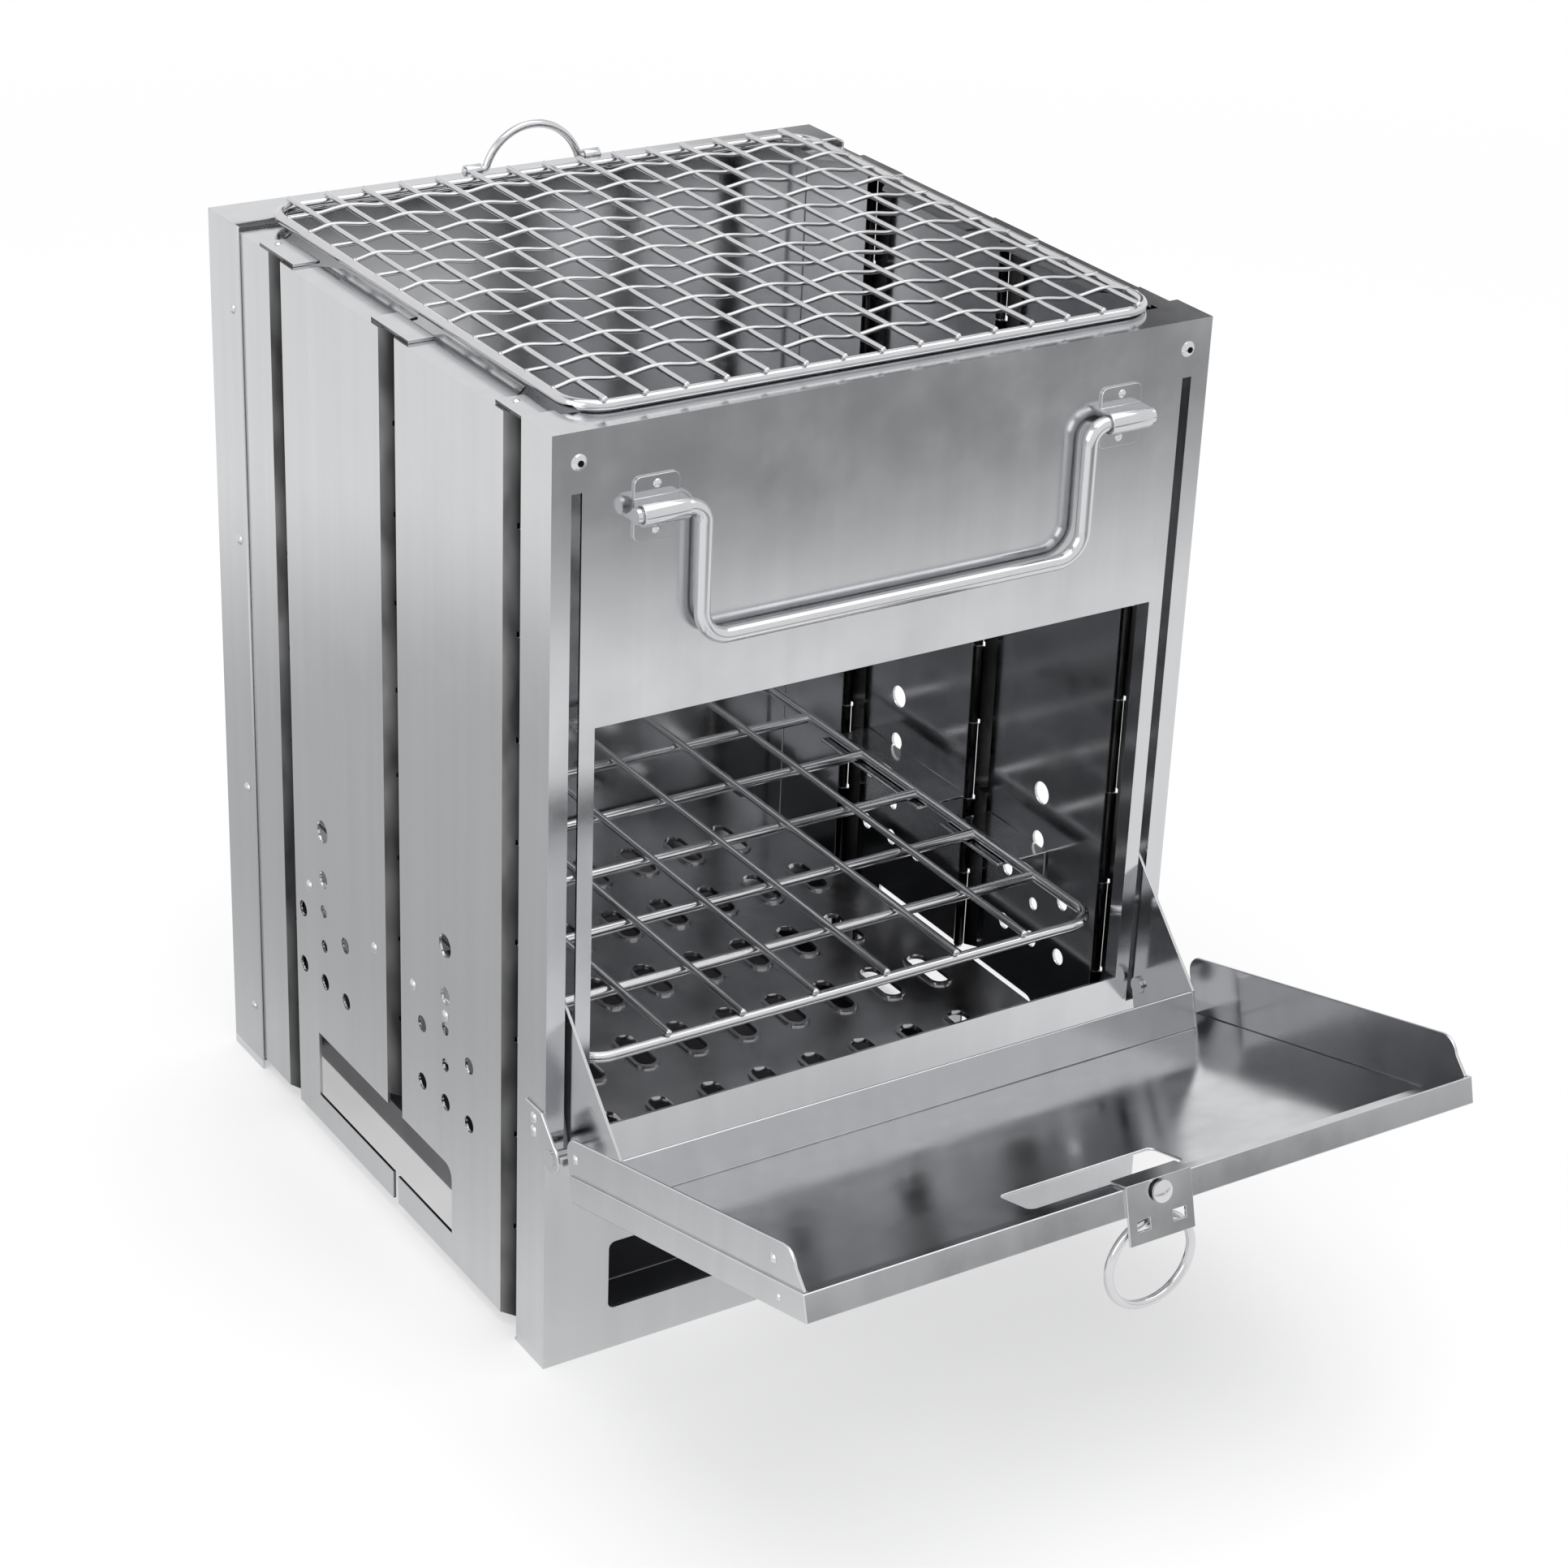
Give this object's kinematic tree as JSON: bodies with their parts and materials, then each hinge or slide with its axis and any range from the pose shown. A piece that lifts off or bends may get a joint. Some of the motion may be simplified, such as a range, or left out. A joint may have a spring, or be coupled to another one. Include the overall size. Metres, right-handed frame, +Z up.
{
  "type": "folding camp oven",
  "caption": "Square stainless box oven with folding side walls, drop-down stayed door, wire grate, rack, fire plate and tray.",
  "frame": {"origin": "middle of the front face's lower edge, on the ground", "axes": "+X to the oven's right as seen from the front, +Y from the front face to the rear face, +Z up"},
  "size_m": [0.2068, 0.3346, 0.2847],
  "materials": {
    "polished_sheet": "polished stainless sheet",
    "polished_wire": "polished stainless wire",
    "fire_metal": "plain stainless sheet that stands in the fire"
  },
  "bodies": {
    "rear": {"rear_pan": "polished_sheet", "left_hinge_strip": "polished_sheet", "right_hinge_strip": "polished_sheet", "rear_plate_ledge": "fire_metal", "rear_rivets": "polished_wire", "left_rear_hinge_pin": "polished_wire", "right_rear_hinge_pin": "polished_wire", "rear_loop_clips": "polished_sheet"},
    "back_loop": {"rear_loop": "polished_wire"},
    "left_rear": {"left_rear_wall": "polished_sheet", "left_rear_rail": "polished_sheet", "left_rear_rivets": "polished_wire", "left_middle_hinge_pin": "polished_wire"},
    "left_front": {"left_front_wall": "polished_sheet", "left_front_rail": "polished_sheet", "left_front_rivets": "polished_wire", "left_front_hinge_pin": "polished_wire"},
    "right_rear": {"right_rear_wall": "polished_sheet", "right_rear_rail": "polished_sheet", "right_rear_rivets": "polished_wire", "right_middle_hinge_pin": "polished_wire"},
    "right_front": {"right_front_wall": "polished_sheet", "right_front_rail": "polished_sheet", "right_front_rivets": "polished_wire"},
    "front": {"front_pan": "polished_sheet", "front_plate_ledge": "fire_metal", "front_rivets": "polished_wire", "left_handle_clip": "polished_sheet", "right_handle_clip": "polished_sheet", "left_door_bracket": "polished_sheet", "right_door_bracket": "polished_sheet", "door_pivot_pins": "polished_wire", "right_front_hinge_pin": "polished_wire"},
    "handle": {"carry_handle": "polished_wire"},
    "door": {"door_pan": "polished_sheet", "left_door_wing": "polished_sheet", "right_door_wing": "polished_sheet", "door_sill_strip": "polished_sheet", "left_door_cheek": "polished_sheet", "right_door_cheek": "polished_sheet", "door_rivets": "polished_wire", "latch_clip": "polished_sheet", "latch_stud": "polished_wire"},
    "ring": {"pull_ring": "polished_wire"},
    "grate": {"grate_rim": "polished_wire", "grate_straight_wires": "polished_wire", "grate_crimped_wires": "polished_wire"},
    "rack": {"rack_frame": "polished_wire", "rack_cross_rods": "polished_wire", "rack_thin_rods": "polished_wire"},
    "plate": {"fire_plate": "fire_metal"},
    "tray": {"ash_tray": "fire_metal"}
  },
  "joints": [
    {"name": "left_rear_fold", "type": "hinge", "parent": "rear", "child": "left_rear", "pos_m": [-0.0954, 0.157, 0.13], "axis": [0, 0, 1], "range_deg": [0, 6]},
    {"name": "left_middle_fold", "type": "hinge", "parent": "left_rear", "child": "left_front", "pos_m": [-0.0954, 0.0885, 0.13], "axis": [0, 0, 1], "range_deg": [-12, 0]},
    {"name": "left_front_fold", "type": "hinge", "parent": "left_front", "child": "front", "pos_m": [-0.0954, 0.02, 0.13], "axis": [0, 0, 1], "range_deg": [0, 6]},
    {"name": "right_rear_fold", "type": "hinge", "parent": "rear", "child": "right_rear", "pos_m": [0.0954, 0.157, 0.13], "axis": [0, 0, 1], "range_deg": [-6, 0]},
    {"name": "right_middle_fold", "type": "hinge", "parent": "right_rear", "child": "right_front", "pos_m": [0.0954, 0.0885, 0.13], "axis": [0, 0, 1], "range_deg": [0, 12]},
    {"name": "door_hinge", "type": "hinge", "parent": "front", "child": "door", "pos_m": [0, -0.004, 0.07], "axis": [1, 0, 0], "range_deg": [-75, 0]},
    {"name": "ring_swing", "type": "hinge", "parent": "door", "child": "ring", "pos_m": [0, -0.12948, 0.09218], "axis": [1, 0, 0], "range_deg": [-10, 72]},
    {"name": "handle_swing", "type": "hinge", "parent": "front", "child": "handle", "pos_m": [0, -0.004, 0.247], "axis": [-1, 0, 0], "range_deg": [0, 180]},
    {"name": "loop_swing", "type": "hinge", "parent": "rear", "child": "back_loop", "pos_m": [0, 0.194, 0.27195], "axis": [-1, 0, 0], "range_deg": [0, 95]},
    {"name": "rack_slide", "type": "slide", "parent": "rear", "child": "rack", "axis": [0, -1, 0], "range_m": [0, 0.095]},
    {"name": "grate_lift", "type": "slide", "parent": "rear", "child": "grate", "axis": [0, 0, 1], "range_m": [0, 0.06]},
    {"name": "plate_lift", "type": "slide", "parent": "rear", "child": "plate", "axis": [0, 0, 1], "range_m": [0, 0.03]},
    {"name": "tray_lift", "type": "slide", "parent": "rear", "child": "tray", "axis": [0, 0, 1], "range_m": [0, 0.02]}
  ],
  "couplings": [
    {"joint": "left_middle_fold", "follows": "left_rear_fold", "ratio": -2},
    {"joint": "left_front_fold", "follows": "left_rear_fold", "ratio": 1},
    {"joint": "right_rear_fold", "follows": "left_rear_fold", "ratio": -1},
    {"joint": "right_middle_fold", "follows": "left_rear_fold", "ratio": 2}
  ]
}
